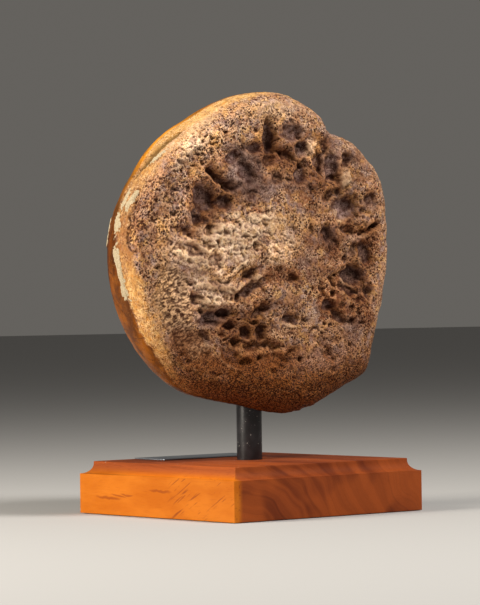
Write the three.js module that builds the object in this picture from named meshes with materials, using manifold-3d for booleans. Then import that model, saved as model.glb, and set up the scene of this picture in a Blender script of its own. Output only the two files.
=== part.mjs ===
// The head of a mammoth's thigh bone, a cap that had not yet grown onto its shaft, on a display stand.
// In front is the spongy growth face, cratered and pored; behind it is the smooth dome of the hip joint.
// A round steel rod carries it over a square wooden base with a cove-moulded top edge.
// A blank metal label plate lies on the base behind the rod.
// Millimetres, +Z up. The origin is the centre of the base's underside.
import * as THREE from 'three';
import { mergeVertices } from 'three/addons/utils/BufferGeometryUtils.js';
import { ImprovedNoise } from 'three/addons/math/ImprovedNoise.js';
import Module from 'manifold-3d';

const wasm = await Module();
wasm.setup();

// Driving dimensions.
const FIT_GAP = 0.3;
const BASE = { side: 152.4, height: 32.6, cove: 6.4, lip: 1.3, arris: 0.8, rodHole: 20 };
const ROD = { radius: 7.95, chamfer: 0.6, top: 92, sides: 48 };
const PLATE = { length: 81, width: 31, thickness: 0.6, centreY: 50.5, corner: 1 };
const BONE = { centre: 163, faceTurn: -12, faceTilt: -3, faceDepth: 33, girthDepth: 12, poleDepth: -51 };

// How many edges each side of the bone's starting icosahedron is cut into, less one,
// and the angles from the face's middle at which the face ends and the girth lies on that sphere.
const BONE_DETAIL = 20;
const FACE_END = 86;
const GIRTH = 116;

// The girth seen from the front: angle in degrees from the right, turning up, and radius.
const GIRTH_OUTLINE = [
  [0, 91], [11, 92], [21, 95], [30, 97], [38, 96], [47, 95], [53, 92], [57, 90], [60, 91], [64, 95],
  [69, 97], [76, 99], [83, 100], [90, 99], [103, 97], [118, 94], [135, 95], [150, 94], [165, 96],
  [180, 97], [195, 97], [210, 98], [225, 99], [238, 99], [250, 96], [262, 95], [272, 98], [281, 102],
  [290, 104], [299, 104], [306, 105], [314, 108], [319, 105], [324, 100], [332, 96], [345, 92],
];

// How wide the rounded rim is between the face and the girth, by the same angle.
const RIM_WIDTH = [
  [0, 18], [45, 16], [75, 20], [100, 16], [135, 9], [180, 8], [220, 9], [250, 18], [275, 24],
  [310, 22], [335, 20],
];

// Broad swells and hollows of the face: across, up, half length, half width, turn, depth.
const SWELLS = [
  [-5, 56, 42, 16, 5, 2.5],
  [-45, 32, 16, 12, -50, 2],
  [55, 5, 45, 16, 90, 2],
  [-12, -50, 34, 16, 0, 2.5],
  [-18, 0, 42, 20, -12, -2.5],
];

// The craters: across, up, half length, half width, turn in degrees, depth.
const CRATERS = [
  // upper left
  [-36, 46, 10, 2.8, -40, 5], [-42, 51, 3.2, 2.4, -20, 3], [-29, 41, 4.5, 3.2, -30, 4],
  [-45, 35, 10, 6, -52, 8], [-32, 31, 4.5, 4.2, 0, 6], [-50, 24, 7, 5, 70, 4],
  [-51, 20, 3.4, 2.8, 60, 4], [-44, 14, 2.6, 2.6, 0, 4], [-60, 12, 5.5, 3.8, -20, 3],
  // the arc along the top
  [-26, 59, 6, 4, 20, 5], [-10, 65, 5, 3.4, 0, 5], [-16, 51, 9, 3.6, -55, 4],
  [-1, 71, 10.5, 4.2, -78, 10], [-1, 57, 3.2, 3.2, 0, 4], [14, 75, 7, 6.5, 0, 4],
  [22, 65, 4.2, 4, 0, 5], [13, 60, 5.5, 2.8, -20, 4], [5, 45, 3.5, 3, 0, 3],
  [20, 48, 6.5, 3.4, 80, 5], [34, 56, 8, 3, 95, 5], [45, 54, 10.5, 4.5, 88, 6],
  [54, 59, 4.2, 3.2, 80, 5], [39, 65, 8.5, 1.8, 68, 5],
  // down the right side
  [42, 36, 3.6, 2.6, -60, 4], [53, 28, 9.5, 7.5, 10, 6], [57, 30, 4.5, 4, 0, 3],
  [72, 34, 5, 3.4, 90, 4], [40, 12, 6, 3.8, -80, 5], [46, 4, 4.5, 3.4, -60, 3],
  [56, 13, 7, 2.2, -8, 4], [70, 14, 9, 2.2, 12, 5], [60, 2, 4.5, 2.6, 60, 4],
  [68, 0, 6.8, 4.4, 95, 6], [59, -14, 7.2, 6, -10, 9], [58, -24, 8.5, 2.8, -20, 5],
  [71, -25, 4.5, 3, 90, 4.5], [44, -18, 4, 2.2, -60, 4], [37, -24, 4, 2.2, -50, 4],
  [41, -33, 5, 4, 20, 5], [49, -40, 7, 3, -42, 5],
  // the middle and below it
  [-54, 2, 6, 3, -20, 3], [-40, -4, 5, 3.6, 30, 3], [-11, 4, 6, 4, -15, 2],
  [-16, -13, 5.5, 2.8, 35, 5], [-14, -22, 11, 3.2, 28, 6], [-52, -28, 3.8, 3.5, 0, 6],
  [-41, -40, 8, 4, 15, 4], [-31, -37, 5, 3, -25, 7], [-27, -45, 4, 2.8, 0, 6],
  [-15, -49, 4.2, 3.5, -30, 7], [-22, -55, 4.6, 3, 0, 6], [-5, -49, 5, 3, 85, 6],
  [-8, -37, 5, 3, 20, 5], [-3, -33, 4, 3, 0, 4], [-10, -58, 7, 2.8, 10, 6],
  [3, -58, 6, 2.2, 0, 4], [-26, -64, 7.5, 5, -35, 4], [-46, -51, 3.4, 2.6, -40, 4],
  [15, -41, 5, 3.2, 0, 5], [3, -66, 8, 3.8, 0, 3], [13, -65, 7, 2.2, 55, 3],
  [42, -64, 6, 2.6, -62, 2.5], [-16, -68, 3.6, 2.6, 20, 4],
];

// The dome's smooth shell stands proud of the spongy rim behind a ragged edge,
// with a hollow under it at the upper left: from and to angle, and how far behind the girth.
const SHELL = { proud: 1.3, behindGirth: 1, ragged: 3 };
const SHELL_HOLLOW = { middle: 140, halfWidth: 12, behindGirth: 7, halfDepth: 4, depth: 2.2 };

const DEG = Math.PI / 180;
const { smoothstep, lerp } = THREE.MathUtils;
const noise = new ImprovedNoise();

// A smooth closed curve through [angle, value] points.
function around(points, angle) {
  const turned = THREE.MathUtils.euclideanModulo(angle, 360);
  const count = points.length;
  const pointAt = (i) => {
    const wrapped = THREE.MathUtils.euclideanModulo(i, count);
    return [points[wrapped][0] + 360 * Math.floor(i / count), points[wrapped][1]];
  };
  let i = count - 1;
  while (points[i][0] > turned) i -= 1;
  const [before, from, to, after] = [i - 1, i, i + 1, i + 2].map(pointAt);
  const span = to[0] - from[0];
  const slopeFrom = ((to[1] - before[1]) / (to[0] - before[0])) * span;
  const slopeTo = ((after[1] - from[1]) / (after[0] - from[0])) * span;
  const t = (turned - from[0]) / span;
  const t2 = t * t;
  const t3 = t2 * t;
  const ends = from[1] * (2 * t3 - 3 * t2 + 1) + to[1] * (3 * t2 - 2 * t3);
  return ends + slopeFrom * (t3 - 2 * t2 + t) + slopeTo * (t3 - t2);
}

// The girth with its notch and corners evened out, which the dome takes up away from the rim.
function evenGirth(angle) {
  const looks = [-36, -24, -12, 0, 12, 24, 36].map((aside) => around(GIRTH_OUTLINE, angle + aside));
  return looks.reduce((sum, radius) => sum + radius, 0) / looks.length;
}

// Distance from an oval's middle, 1 on its edge.
function ovalDistance(across, up, [x, y, halfLength, halfWidth, turn]) {
  const c = Math.cos(turn * DEG);
  const s = Math.sin(turn * DEG);
  const along = ((across - x) * c + (up - y) * s) / halfLength;
  const aside = ((up - y) * c - (across - x) * s) / halfWidth;
  return Math.hypot(along, aside);
}

// How far the face stands out or sinks in at a point.
function faceRelief(across, up) {
  let height = 0.8 * noise.noise(across / 14, up / 14, 3);
  for (const swell of SWELLS) {
    height -= swell[5] * Math.exp(-(ovalDistance(across, up, swell) ** 2));
  }
  const ragged = 1 + 0.15 * noise.noise(across / 5, up / 5, 9);
  for (const crater of CRATERS) {
    const reach = ovalDistance(across, up, crater) * ragged;
    height -= crater[5] * (1 - smoothstep(reach, 0.1, 1.35));
  }
  return height;
}

// How far the dome's shell stands out, by angle around and angle from the face's middle.
function shellRelief(angle, fromMiddle) {
  const x = 4 * Math.cos(angle * DEG);
  const y = 4 * Math.sin(angle * DEG);
  const edge = GIRTH + SHELL.behindGirth + SHELL.ragged * noise.noise(x, y, 5);
  const step = SHELL.proud * smoothstep(fromMiddle, edge - 2, edge + 2);
  const across = (angle - SHELL_HOLLOW.middle) / SHELL_HOLLOW.halfWidth;
  const back = (fromMiddle - GIRTH - SHELL_HOLLOW.behindGirth) / SHELL_HOLLOW.halfDepth;
  return step - SHELL_HOLLOW.depth * Math.exp(-((across * across + back * back) ** 2));
}

// Moves a point of the unit sphere to its place on the bone: x across the face, y up it, z out of it.
function shapeBone(point) {
  const angle = THREE.MathUtils.euclideanModulo(Math.atan2(point.y, point.x) / DEG, 360);
  const fromMiddle = Math.acos(THREE.MathUtils.clamp(point.z, -1, 1)) / DEG;
  const girth = around(GIRTH_OUTLINE, angle);
  const rim = around(RIM_WIDTH, angle);
  const rimHeight = BONE.faceDepth - BONE.girthDepth;
  const domeHeight = BONE.girthDepth - BONE.poleDepth;
  let radius;
  let depth;
  let outward;
  if (fromMiddle < FACE_END) {
    radius = ((girth - rim) * fromMiddle) / FACE_END;
    depth = BONE.faceDepth;
    outward = 0;
  } else if (fromMiddle < GIRTH) {
    outward = (90 * (fromMiddle - FACE_END)) / (GIRTH - FACE_END);
    radius = girth - rim + rim * Math.sin(outward * DEG);
    depth = BONE.girthDepth + rimHeight * Math.cos(outward * DEG);
  } else {
    outward = 90 + (90 * (fromMiddle - GIRTH)) / (180 - GIRTH);
    const domeGirth = lerp(girth, evenGirth(angle), smoothstep(outward, 92, 125));
    radius = domeGirth * Math.sin(outward * DEG);
    depth = BONE.girthDepth + domeHeight * Math.cos(outward * DEG);
  }
  const across = radius * Math.cos(angle * DEG);
  const up = radius * Math.sin(angle * DEG);
  const faceShare = 1 - smoothstep(outward, 30, 85);
  const shellShare = smoothstep(outward, 60, 90);
  const rise = faceShare * faceRelief(across, up) + shellShare * shellRelief(angle, fromMiddle);
  const sideways = rise * Math.sin(outward * DEG);
  point.set(
    across + sideways * Math.cos(angle * DEG),
    up + sideways * Math.sin(angle * DEG),
    depth + rise * Math.cos(outward * DEG),
  );
}

// A geometry's shape alone, with its shared corners merged.
function merged(geometry, tolerance = 1e-4) {
  const bare = geometry.clone();
  bare.deleteAttribute('normal');
  bare.deleteAttribute('uv');
  return mergeVertices(bare, tolerance);
}

function toSolid(geometry) {
  const shape = merged(geometry);
  const vertProperties = new Float32Array(shape.attributes.position.array);
  const triVerts = new Uint32Array(shape.index.array);
  return new wasm.Manifold(new wasm.Mesh({ numProp: 3, vertProperties, triVerts }));
}

function toGeometry(solid) {
  const { vertProperties, triVerts } = solid.getMesh();
  const geometry = new THREE.BufferGeometry();
  geometry.setAttribute('position', new THREE.BufferAttribute(vertProperties, 3));
  geometry.setIndex(new THREE.BufferAttribute(triVerts, 1));
  geometry.computeVertexNormals();
  return geometry;
}

function cylinderBetween(radius, bottom, top) {
  const cylinder = new THREE.CylinderGeometry(radius, radius, top - bottom, ROD.sides);
  return cylinder.rotateX(Math.PI / 2).translate(0, 0, (bottom + top) / 2);
}

function makeFemurHead() {
  const surface = merged(new THREE.IcosahedronGeometry(1, BONE_DETAIL));
  const place = surface.attributes.position;
  const point = new THREE.Vector3();
  for (let i = 0; i < place.count; i += 1) {
    point.fromBufferAttribute(place, i);
    shapeBone(point);
    place.setXYZ(i, point.x, point.y, point.z);
  }
  // The face's own axes, turned and tilted: across, up and out.
  const turn = BONE.faceTurn * DEG;
  const tilt = BONE.faceTilt * DEG;
  const level = new THREE.Vector3(Math.sin(turn), -Math.cos(turn), 0);
  const out = level.multiplyScalar(Math.cos(tilt)).setZ(Math.sin(tilt));
  const across = new THREE.Vector3(Math.cos(turn), Math.sin(turn), 0);
  const up = new THREE.Vector3().crossVectors(out, across);
  surface.applyMatrix4(new THREE.Matrix4().makeBasis(across, up, out));
  surface.translate(0, 0, BONE.centre);
  const rodHole = cylinderBetween(ROD.radius + FIT_GAP, 0, ROD.top + FIT_GAP);
  return toGeometry(toSolid(surface).subtract(toSolid(rodHole)));
}

function makeRod() {
  const bottom = BASE.height - BASE.rodHole + FIT_GAP;
  const inner = ROD.radius - ROD.chamfer;
  const profile = [
    new THREE.Vector2(0, bottom),
    new THREE.Vector2(inner, bottom),
    new THREE.Vector2(ROD.radius, bottom + ROD.chamfer),
    new THREE.Vector2(ROD.radius, ROD.top - ROD.chamfer),
    new THREE.Vector2(inner, ROD.top),
    new THREE.Vector2(0, ROD.top),
  ];
  return new THREE.LatheGeometry(profile, ROD.sides).rotateX(Math.PI / 2);
}

// A square block as rings of four corners, one for each point of its edge profile.
function makeBase() {
  const half = BASE.side / 2;
  const coveTop = BASE.height - BASE.lip;
  const coveFoot = coveTop - BASE.cove;
  const profile = [[BASE.arris, 0], [0, BASE.arris], [0, coveFoot - BASE.arris]];
  const coveSteps = 8;
  const eased = Math.asin(BASE.arris / BASE.cove);
  for (let i = 0; i <= coveSteps; i += 1) {
    const angle = lerp(Math.PI / 2 - eased, 0, i / coveSteps);
    profile.push([BASE.cove * Math.cos(angle), coveTop - BASE.cove * Math.sin(angle)]);
  }
  profile.push([BASE.cove, BASE.height]);
  const corners = [[-1, -1], [1, -1], [1, 1], [-1, 1]];
  const positions = [];
  const faces = [];
  for (const [inset, z] of profile) {
    for (const [x, y] of corners) positions.push(x * (half - inset), y * (half - inset), z);
  }
  for (let ring = 0; ring < profile.length - 1; ring += 1) {
    for (let side = 0; side < 4; side += 1) {
      const a = ring * 4 + side;
      const b = ring * 4 + ((side + 1) % 4);
      faces.push(a, b, b + 4, a, b + 4, a + 4);
    }
  }
  const last = positions.length / 3 - 4;
  faces.push(0, 2, 1, 0, 3, 2, last, last + 1, last + 2, last, last + 2, last + 3);
  const block = new THREE.BufferGeometry();
  block.setAttribute('position', new THREE.Float32BufferAttribute(positions, 3));
  block.setIndex(faces);
  const overTop = BASE.height + 5;
  const rodHole = cylinderBetween(ROD.radius + FIT_GAP, BASE.height - BASE.rodHole, overTop);
  return toGeometry(toSolid(block).subtract(toSolid(rodHole)));
}

function makePlate() {
  const x = PLATE.length / 2;
  const y = PLATE.width / 2;
  const r = PLATE.corner;
  const outline = new THREE.Shape();
  outline.moveTo(-x + r, -y);
  outline.absarc(x - r, -y + r, r, -Math.PI / 2, 0);
  outline.absarc(x - r, y - r, r, 0, Math.PI / 2);
  outline.absarc(-x + r, y - r, r, Math.PI / 2, Math.PI);
  outline.absarc(-x + r, -y + r, r, Math.PI, 1.5 * Math.PI);
  const options = { depth: PLATE.thickness, bevelEnabled: false, curveSegments: 5 };
  const plate = new THREE.ExtrudeGeometry(outline, options);
  return plate.translate(0, PLATE.centreY, BASE.height + FIT_GAP);
}

function finish(color, roughness, metalness = 0) {
  return new THREE.MeshStandardMaterial({ color, roughness, metalness });
}

const root = new THREE.Group();

function addPiece(name, geometry, material) {
  const mesh = new THREE.Mesh(geometry, material);
  mesh.name = name;
  root.add(mesh);
}

addPiece('femur_head', makeFemurHead(), finish('#a97c4e', 0.85));
addPiece('stand_rod', makeRod(), finish('#17161a', 0.4, 0.6));
addPiece('stand_base', makeBase(), finish('#b5622a', 0.35));
addPiece('label_plate', makePlate(), finish('#aab2bd', 0.35, 1));

export default root;
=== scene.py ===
import math

import bmesh
import bpy
import numpy as np
from mathutils import Matrix, Vector, noise


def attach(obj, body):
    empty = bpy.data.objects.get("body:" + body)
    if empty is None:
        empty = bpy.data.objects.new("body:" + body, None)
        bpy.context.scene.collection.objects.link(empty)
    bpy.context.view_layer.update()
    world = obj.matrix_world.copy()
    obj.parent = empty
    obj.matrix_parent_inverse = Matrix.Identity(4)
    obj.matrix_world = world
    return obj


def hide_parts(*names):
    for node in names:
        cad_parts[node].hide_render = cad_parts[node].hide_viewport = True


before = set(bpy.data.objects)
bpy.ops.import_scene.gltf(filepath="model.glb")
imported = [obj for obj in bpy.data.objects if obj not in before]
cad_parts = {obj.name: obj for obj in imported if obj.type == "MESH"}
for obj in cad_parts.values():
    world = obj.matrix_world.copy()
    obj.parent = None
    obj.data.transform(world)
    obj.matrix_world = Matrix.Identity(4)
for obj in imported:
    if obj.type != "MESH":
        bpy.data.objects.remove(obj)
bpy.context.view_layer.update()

MM = 0.001
noise.seed_set(7)

# ---- the bone's form, in mm and degrees
# The face looks along its own third axis: first across, then up, then out of the face.
BONE_CENTRE = 163
FACE_TURN, FACE_TILT = -12, -3
FACE_DEPTH, GIRTH_DEPTH, POLE_DEPTH = 33, 12, -51

# Degrees from the face's middle, on the ball that the bone starts from.
FACE_END = 60
GIRTH = 88
FINE_TO = 91
RIM_MM_PER_DEGREE, DOME_MM_PER_DEGREE, GIRTH_MM_PER_DEGREE = 1.04, 1.37, 1.66

# The stand, as in the solids.
FIT_GAP = 0.3
BASE_SIDE, BASE_HEIGHT, COVE, LIP, ARRIS, ROD_HOLE = 152.4, 32.6, 6.4, 1.3, 0.8, 20
BASE_BEVEL, PLATE_BEVEL, ROUND_SIDES = 0.4, 0.12, 96
ROD_RADIUS, ROD_CHAMFER, ROD_TOP = 7.95, 0.6, 92
PLATE_LENGTH, PLATE_WIDTH, PLATE_THICKNESS, PLATE_CENTRE, PLATE_CORNER = 81, 31, 0.6, 50.5, 1

# Angle round the face from the right, turning up, and radius.
GIRTH_OUTLINE = [
    (0, 91), (11, 92), (21, 95), (30, 97), (38, 96), (47, 95), (53, 92), (57, 90), (60, 91), (64, 95),
    (69, 97), (76, 99), (83, 100), (90, 99), (103, 97), (118, 94), (135, 95), (150, 94), (165, 96),
    (180, 97), (195, 97), (210, 98), (225, 99), (238, 99), (250, 96), (262, 95), (272, 98), (281, 102),
    (290, 104), (299, 104), (306, 105), (314, 108), (319, 105), (324, 100), (332, 96), (345, 92),
]
RIM_WIDTH = [
    (0, 18), (45, 16), (75, 20), (100, 16), (135, 9), (180, 8), (220, 9), (250, 18), (275, 24), (310, 22),
    (335, 20),
]

# Every oval: across, up, half length, half width, its depth or strength, and any turn in degrees.
SWELLS = [
    (-5, 56, 42, 16, 2.5, 5), (-45, 32, 16, 12, 2, -50), (55, 5, 45, 16, 2, 90), (-12, -50, 34, 16, 2.5),
    (-18, 0, 42, 20, -2.5, -12), (8, 6, 9, 6, -1.5, 20),
]
CRATERS = [
    # upper left
    (-36, 46, 10, 2.8, 5, -40), (-42, 51, 3.2, 2.4, 3, -20), (-29, 41, 4.5, 3.2, 4, -30),
    (-45, 34, 10.5, 6, 8, -52), (-32, 32, 4.6, 4, 6), (-50, 24, 7, 4.6, 5, 70), (-51, 20, 3.4, 2.8, 4, 60),
    (-44, 14, 2.6, 2.6, 4), (-60, 12, 5.5, 3.8, 3, -20),
    # the arc along the top
    (-26, 59, 6, 4, 5, 20), (-10, 65, 5, 3.4, 5), (-17, 50, 8.5, 4.6, 4.4, -55), (-14, 36, 5, 3.4, 3),
    (-1, 71, 10.5, 4.2, 7, -78), (-1, 57, 3.2, 3.2, 4), (14, 75, 7, 6.5, 4), (22, 65, 4.2, 4, 5),
    (13, 60, 5.5, 2.8, 4, -20), (5, 45, 3.5, 3, 3), (21, 49, 7, 4, 5.5, 80), (34, 57, 7.5, 3.2, 5, 95),
    (44, 54, 10, 5, 6, 88), (54, 59, 4.2, 3.2, 5, 80), (39, 65, 8.5, 1.8, 5, 68),
    # down the right side
    (42, 36, 3.6, 2.6, 4, -60), (53, 28, 9, 7.2, 6, 10), (57, 30, 4.5, 4, 3), (72, 34, 5, 3.4, 4, 90),
    (40, 12, 6, 3.8, 5, -80), (46, 4, 4.5, 3.4, 3, -60), (55, 14, 5.5, 2.6, 3.4, -14),
    (65, 12.5, 3.6, 2, 4, 10), (74, 16.5, 5.4, 2.1, 5, 30), (60, 2, 4.5, 2.6, 4, 60),
    (68, 0, 6.8, 4.4, 6, 95), (59, -14, 7.2, 6, 9, -10), (58, -24, 8.5, 2.8, 5, -20),
    (71, -25, 4.5, 3, 4.5, 90), (44, -18, 4, 2.2, 4, -60), (37, -24, 4, 2.2, 4, -50), (41, -33, 5, 4, 5, 20),
    (49, -40, 7, 3, 5, -42),
    # the middle and below it
    (-54, 2, 6, 3, 3, -20), (-40, -4, 5, 3.6, 3, 30), (-11, 4, 6, 4, 2, -15), (-16, -13, 5.5, 2.8, 5, 35),
    (-14, -22, 11, 3.2, 6, 28), (-52, -28, 3.8, 3.5, 6), (-41, -40, 9, 4.6, 4.5, 15),
    (-31, -37, 5, 3, 7, -25), (-27, -45, 4, 2.8, 6), (-15, -49, 4.2, 3.5, 7, -30), (-22, -55, 4.6, 3, 6),
    (-5, -49, 5, 3, 6, 85), (-8, -37, 5, 3, 5, 20), (-3, -33, 4, 3, 4), (-10, -58, 7, 2.8, 6, 10),
    (3, -58, 6, 2.2, 4), (-26, -64, 7.5, 5, 4, -35), (-46, -51, 3.4, 2.6, 4, -40), (15, -41, 5, 3.2, 5),
    (3, -66, 8, 3.8, 3), (13, -65, 7, 2.2, 3, 55), (42, -64, 6, 2.6, 2.5, -62), (-16, -68, 3.6, 2.6, 4, 20),
    (16, -16, 4, 2.8, 3.5, -30),
]
PITS = [
    # upper left and the band of single pores above it
    (-67, 39, 3, 1.9, 3), (-57, 39, 2.6, 2, 3, 80), (-68, 25, 2.4, 1.7, 2.5), (-60, 44, 1.3, 1, 2),
    (-48, 68, 1.6, 1.4, 2), (-42, 67, 1.5, 1.2, 2), (-42, 71, 1.1, 1, 2), (-46, 71, 1, 0.9, 2),
    (-50, 71, 1, 0.9, 2), (-33, 75, 1.5, 1.3, 2), (-11, 75, 1.7, 1.5, 2.5), (-28, 79, 1.2, 1.1, 2),
    (-51, 61, 1.4, 1.2, 2), (-58, 59, 1.3, 1, 2), (-54, 53, 1.3, 1, 2), (-48, 55, 1.2, 1, 2),
    (-62, 50, 1.5, 1, 2, 40), (-41, 61, 1.2, 1, 1.8), (-20, 88, 1.2, 1, 1.8), (-15, 85, 1.2, 1, 1.8),
    # top and right
    (20, 71, 2, 1.6, 3), (21, 66, 1.6, 1.6, 2.5), (35, 51, 2.6, 1.8, 3, 90), (45, 47, 3.6, 2.2, 3.5),
    (1, 66, 2.6, 2, 3, 80), (8, 62, 2.6, 2, 3), (22, 54, 2.2, 2, 3), (13, 45, 2.2, 2, 2),
    (28, 40, 2, 3.2, 2), (48, 38, 2, 3, 2.5), (40, 43, 2.4, 1.8, 1.5), (28, 14, 4, 1.8, 2, 90),
    (15, 14, 4.6, 3.4, 2, -20), (26, -6, 3.2, 2.8, 1.5), (54, -4, 3.8, 2, 3.5, 90), (47, -14, 2, 1.5, 3, 90),
    (51, -11, 3.2, 1.3, 3.5, 85), (45, -26, 2.8, 2, 4, -60), (29, -22, 2, 1.2, 2, 80),
    (5, -10, 4.4, 3, 2.5, -30), (39, -44, 1.6, 1.4, 3), (43, -45, 1.3, 1.2, 3), (32, -47, 3, 1.3, 2),
    (66, 27, 3, 2, 2, 30), (76, 17, 3, 1.6, 3, 30), (63, -30, 3, 2, 2.5), (58, -35, 2.6, 1.8, 2.5, 60),
    (64, -37, 2.4, 1.6, 2.5, 90), (58, -43, 2.4, 1.6, 2.5, 70), (52, -33, 2.6, 2, 2.5), (66, -44, 2, 1.4, 2),
    (50, -59, 1.5, 1.2, 1.8), (57, -58, 1.5, 1.1, 1.8), (24, -43, 3, 2, 2), (22, -67, 2.4, 1.7, 4, 30),
    # the middle
    (-47, 8, 3.2, 1.6, 2, -10), (-38, 5, 2.6, 1.1, 3, 80), (-27, 13, 2.6, 1.4, 2.5, 80),
    (-19, 10, 3, 1.4, 1.5), (-33, -17, 5.5, 1.2, 2.5, -5), (-57, -18, 3.2, 0.9, 2.5, -35),
    (-55, -13, 1, 1, 1.5), (-22, -27, 3, 2.4, 4, 80), (-48, -35, 2.6, 1.9, 4, 90), (-38, -43, 5, 2, 2.5),
    (-21, -40, 1.4, 0.9, 4), (-9, -43, 3, 2.4, 4), (-7, -65, 2.2, 1.8, 4), (-46, -55, 3, 1.8, 2),
    (-33, -50, 2.6, 1.6, 3), (-30, -53, 2.4, 1.4, 2.5), (-36, -74, 3, 1.5, 2), (-79, -9, 1.9, 1.2, 3, 10),
    (-61, -62, 1.5, 1.3, 2), (-56, -66, 1.3, 1.2, 2),
]
# Raised plates and lumps, with flat tops.
CHIPS = [
    (-15, 22, 4.5, 2.6, 1.4, 40), (-12, 20, 3.4, 2, 1), (-5, 23, 3.4, 1.6, 1.2, 5), (-2, 28, 3, 1.4, 1),
    (-28, 24, 6, 2, 1.2), (-37, 16, 5, 2.6, 1.2, 30), (-3, 3, 4, 1.2, 1.2, 88), (-15, 7, 5, 1.2, 1, 40),
    (-17, 12, 5, 1, 1, -10), (-10, -15, 4.4, 2, 1.6, 12), (-21, -20, 4, 1.8, 1.3, 30),
    (-47, -29, 4, 2.4, 1.8), (-38, -29, 3.6, 2.8, 1.6), (-65, 1, 3, 2.4, 1), (-57, 8, 3, 1.6, 0.8),
    (-24, -9, 8, 2, 1.2, 45), (-30, -14, 7, 1.6, 1, 30), (-29, -22, 7, 3, 1.2, -10), (-46, -20, 9, 2, 1, -8),
    (27, 66, 4, 1.6, 0.7, -60), (53, 47, 4.6, 3.2, 0.6, 90), (50, -47, 2.4, 1.2, 1.2, -30),
    (37, -48, 1.8, 1.2, 1), (58, 8, 2.6, 1.8, 0.6), (66, 10, 6, 1.2, 0.6, 14), (48, 25, 3, 2.4, 0.5, 40),
    (-26, -70, 8, 1.2, 1.2, -25), (-34, -64, 5, 1.2, 1, -70), (15, -45, 5, 1.2, 1), (-44, -58, 5, 3, 1),
    (65, -5, 2.6, 3.4, 0.5),
]

# Patches of colour on the face, also as ovals with a strength.
CREAM = [
    (-58, 2, 9, 9, 0.5), (-60, -28, 8, 6, 0.5), (-40, -30, 8, 5, 0.4), (-28, 8, 24, 13, 1, -6),
    (-48, -4, 17, 9, 0.8, -12), (-40, -22, 20, 7, 0.7), (-10, 18, 18, 8, 0.8, 8), (7, 6, 12, 9, 0.45, 10),
    (-50, -13, 9, 5, 0.5, -10), (-40, -31, 13, 4, 0.8, 5), (-12, -16, 5, 3, 0.6, 30), (28, 67, 4, 7, 0.7),
    (53, 47, 4, 6, 0.9), (57, -20, 7, 3, 0.5, -35), (52, 22, 6, 2.5, 0.5, 30), (-57, 65, 10, 4.5, 1, 48),
    (-66, 54, 5, 3, 0.6, 50), (-48, 73, 13, 6, 0.5, 42), (3, 90, 20, 6, 0.4), (2, 0, 11, 8, 0.4),
    (-68, 2, 8, 14, 0.4),
]
MAUVE = [
    (-17, 52, 15, 14, 0.7, 20), (-18, 48, 9, 13, 0.9, 10), (52, 66, 20, 8, 0.45, -35),
    (40, -66, 24, 9, 0.5, 5), (58, -44, 10, 6, 0.5), (-56, -18, 12, 8, 0.5), (-18, 50, 12, 12, 1),
    (-8, 38, 15, 6, 0.8, 15), (-45, 37, 7, 6, 0.8, -50), (4, 44, 8, 6, 0.5), (43, 55, 9, 8, 0.7, 80),
    (52, 28, 9, 7, 1), (60, -14, 8, 6, 1), (42, 9, 6, 8, 0.7), (13, 14, 6, 5, 0.5),
    (-62, -8, 10, 6, 0.5, -10), (-53, -28, 5, 4, 0.7), (-42, -41, 11, 6, 0.8, 10), (10, -43, 5, 3, 0.5),
    (31, -38, 7, 4, 0.6, 50), (12, -68, 3, 4, 0.5, 40), (-55, 22, 5, 4, 0.6, 60), (15, 75, 9, 7, 0.7),
    (22, 64, 6, 5, 0.7), (71, 31, 5, 6, 0.5), (-64, 36, 6, 5, 0.3), (-48, -54, 9, 7, 0.6),
    (60, -50, 8, 7, 0.6), (26, -7, 8, 11, 0.4), (-30, -34, 7, 4, 0.5), (60, 9, 8, 3, 0.6, 10),
    (20, 42, 8, 6, 0.5), (-62, -50, 8, 12, 0.4), (-25, 62, 8, 6, 0.5),
]
RUST = [
    (-11, 26, 5, 3, 1), (-27, 19, 6, 3, 0.7), (23, 31, 7, 5, 0.6), (5, -66, 30, 7, 0.8),
    (-33, 60, 5, 4, 0.4, -40), (3, 63, 16, 10, 0.6), (-51, 34, 9, 11, 0.6, -30),
    (-55, -57, 17, 10, 0.8, -30), (-10, -31, 12, 6, 0.5), (56, 16, 8, 4, 0.4), (43, -32, 11, 13, 0.8),
    (-30, -47, 12, 7, 0.7), (10, -13, 18, 6, 0.7, -12), (65, -36, 12, 14, 0.8), (71, 4, 8, 15, 0.6),
    (27, -4, 11, 13, 0.4), (-25, -70, 26, 7, 0.9, -5), (20, 50, 10, 9, 0.5), (-36, 42, 10, 6, 0.5, -40),
    (46, -8, 8, 14, 0.5), (-36, 30, 8, 5, 0.4),
]
OCHRE = [
    (-40, 70, 8, 6, 0.8, 30), (-50, 52, 7, 5, 0.5, 30), (62, 0, 20, 5, 0.3, 90), (50, -40, 6, 5, 0.5),
    (-8, 73, 5, 5, 0.5), (6, 19, 16, 7, 0.9, -10), (-27, -12, 16, 5, 0.6, 10), (-14, -61, 14, 5, 0.5),
    (-30, 4, 16, 8, 0.4), (-52, 76, 16, 5, 0.7, 42), (54, 48, 5, 6, 1), (32, 64, 4, 9, 0.8),
    (8, 2, 16, 9, 0.4, 20), (-50, -64, 16, 8, 0.6, -40), (-8, 88, 20, 6, 0.5), (-22, 33, 6, 4, 0.6),
    (-8, -42, 9, 5, 0.5), (-74, -25, 8, 26, 0.6, -8), (-76, 8, 5, 14, 0.6), (70, 16, 7, 5, 0.4),
    (24, 20, 8, 6, 0.5),
]
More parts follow.
